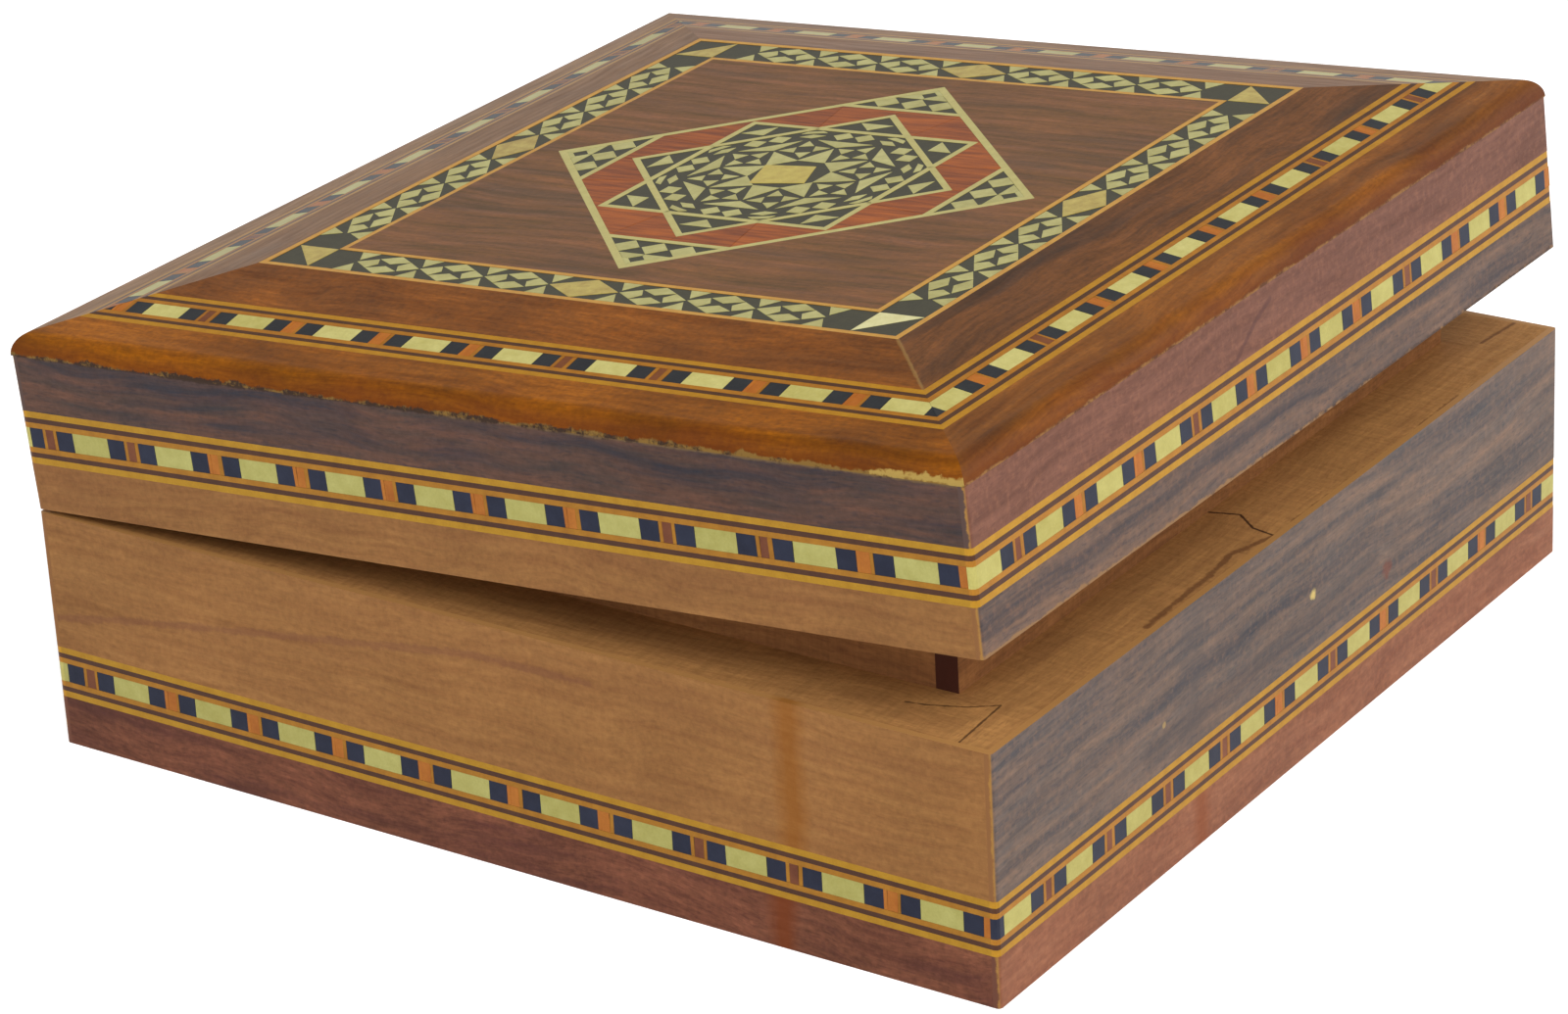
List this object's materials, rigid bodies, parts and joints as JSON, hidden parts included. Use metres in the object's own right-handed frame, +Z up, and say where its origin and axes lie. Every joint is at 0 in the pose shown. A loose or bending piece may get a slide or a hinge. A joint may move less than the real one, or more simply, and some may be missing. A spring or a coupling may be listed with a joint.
{
  "type": "wooden puzzle box",
  "caption": "Square veneered keepsake box with a hinged bevelled lid, inlaid bandings, a mosaic star on top and a hidden sliding lock.",
  "frame": {"origin": "centre of the underside, on the face that the box rests on", "axes": "+X to the right along the front, +Y to the back where the hinges are, +Z up"},
  "size_m": [0.15, 0.157, 0.0736],
  "materials": {
    "carcass": "raw sawn softwood, satin",
    "liner": "dark stained, satin",
    "tan_veneer": "polished veneer",
    "red_veneer": "polished veneer",
    "dark_veneer": "polished veneer",
    "walnut_veneer": "polished veneer",
    "orange_veneer": "glossy polished veneer",
    "banding": "inlaid banding of light, dark and orange blocks",
    "mosaic": "inlaid mosaic of pearly and dark tiles",
    "brass": "drawn brass, dulled"
  },
  "bodies": {
    "base": {"base_front_wall": "carcass", "liner_front": "liner", "base_front_banding": "banding", "base_front_lower_veneer": "red_veneer", "base_front_upper_veneer": "walnut_veneer", "base_back_wall": "carcass", "liner_back": "liner", "base_back_banding": "banding", "base_back_lower_veneer": "red_veneer", "base_back_upper_veneer": "walnut_veneer", "base_left_wall": "carcass", "liner_left": "liner", "base_left_banding": "banding", "base_left_lower_veneer": "red_veneer", "base_left_upper_veneer": "tan_veneer", "base_right_wall": "carcass", "liner_right": "liner", "base_right_banding": "banding", "base_right_lower_veneer": "red_veneer", "base_right_upper_veneer": "tan_veneer", "base_bottom_panel": "carcass", "hinge_base_leaves": "brass", "hinge_pins": "brass", "hinge_base_screws": "brass"},
    "lid": {"lid_front_wall": "carcass", "lid_front_banding": "banding", "lid_front_upper_veneer": "dark_veneer", "bevel_front_outer_veneer": "orange_veneer", "bevel_front_inner_veneer": "red_veneer", "lid_front_lower_veneer": "walnut_veneer", "lid_back_wall": "carcass", "lid_back_banding": "banding", "lid_back_upper_veneer": "dark_veneer", "bevel_back_outer_veneer": "orange_veneer", "bevel_back_inner_veneer": "red_veneer", "lid_back_lower_veneer": "walnut_veneer", "lid_left_wall": "carcass", "lid_left_banding": "banding", "lid_left_upper_veneer": "dark_veneer", "bevel_left_outer_veneer": "orange_veneer", "bevel_left_inner_veneer": "red_veneer", "lid_left_lower_veneer": "tan_veneer", "lid_right_wall": "carcass", "lid_right_banding": "banding", "lid_right_upper_veneer": "dark_veneer", "bevel_right_outer_veneer": "orange_veneer", "bevel_right_inner_veneer": "red_veneer", "lid_right_lower_veneer": "tan_veneer", "lid_top_board": "carcass", "lid_catch": "carcass", "bevel_bandings": "banding", "top_field_veneer": "red_veneer", "mosaic_border": "mosaic", "star_medallion": "mosaic", "hinge_lid_leaves": "brass", "hinge_lid_screws": "brass"},
    "slide": {"secret_slide": "carcass", "slide_veneer": "red_veneer", "lock_bolt": "carcass"}
  },
  "joints": [
    {"name": "lid_hinge", "type": "hinge", "parent": "base", "child": "lid", "pos_m": [0, 0.0771, 0.03455], "axis": [-1, 0, 0], "range_deg": [-4.5, 107.5]},
    {"name": "secret_slide", "type": "slide", "parent": "base", "child": "slide", "axis": [0, 1, 0], "range_m": [-0.007, 0]}
  ]
}
